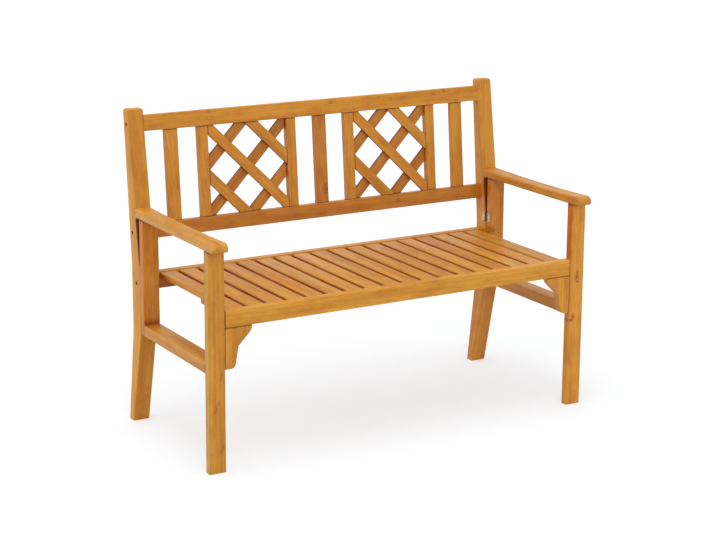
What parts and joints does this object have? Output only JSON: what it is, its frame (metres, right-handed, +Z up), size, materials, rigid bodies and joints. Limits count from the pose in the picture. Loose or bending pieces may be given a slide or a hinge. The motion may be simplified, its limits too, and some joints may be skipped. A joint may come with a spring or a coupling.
{
  "type": "folding garden bench",
  "caption": "Wooden garden bench with slatted seat, armrests, scalloped brackets and a back with two lattice panels; the seat flips up for folding.",
  "frame": {"origin": "on the ground, under the middle of the bench's width and depth", "axes": "+X along the bench, to the right seen from the front; +Y from the front to the back; +Z up"},
  "size_m": [1.18, 0.539, 0.878],
  "materials": {
    "wood": "oiled honey stain, satin",
    "steel": "plain steel",
    "zinc": "zinc-plated, slightly yellowed"
  },
  "bodies": {
    "root": {"rear_leg_left": "wood", "rear_leg_right": "wood", "back_top_rail": "wood", "back_bottom_rail": "wood", "back_slat_left": "wood", "back_slat_centre": "wood", "back_slat_right": "wood", "lattice_left_outer_stile": "wood", "lattice_left_inner_stile": "wood", "lattice_right_inner_stile": "wood", "lattice_right_outer_stile": "wood", "lattice_left_front_bars": "wood", "lattice_left_rear_bars": "wood", "lattice_right_front_bars": "wood", "lattice_right_rear_bars": "wood", "front_leg_left": "wood", "front_leg_right": "wood", "armrest_left": "wood", "armrest_right": "wood", "arm_stile_left": "wood", "arm_stile_right": "wood", "side_stretcher_left": "wood", "side_stretcher_right": "wood", "corner_bracket_left": "wood", "corner_bracket_right": "wood", "hinge_frame_leaves_left": "zinc", "hinge_frame_leaves_right": "zinc", "hinge_arm_leaves_left": "zinc", "hinge_arm_leaves_right": "zinc", "hinge_pins": "steel", "hinge_screws": "steel", "pivot_bolts": "steel", "pivot_washers": "zinc", "back_rail_screws": "steel", "side_frame_dowels": "wood"},
    "seat": {"seat_front_rail": "wood", "seat_rear_rail": "wood", "seat_batten": "wood", "seat_slat_01": "wood", "seat_slat_02": "wood", "seat_slat_03": "wood", "seat_slat_04": "wood", "seat_slat_05": "wood", "seat_slat_06": "wood", "seat_slat_07": "wood", "seat_slat_08": "wood", "seat_slat_09": "wood", "seat_slat_10": "wood", "seat_slat_11": "wood", "seat_slat_12": "wood", "seat_slat_13": "wood", "seat_slat_14": "wood", "seat_slat_15": "wood", "seat_slat_16": "wood", "seat_slat_17": "wood", "seat_slat_18": "wood", "pivot_bushes": "zinc", "seat_screws": "steel"}
  },
  "joints": [
    {"name": "seat_flip", "type": "hinge", "parent": "root", "child": "seat", "pos_m": [0, 0.20346, 0.406], "axis": [-1, 0, 0], "range_deg": [0, 80]}
  ]
}
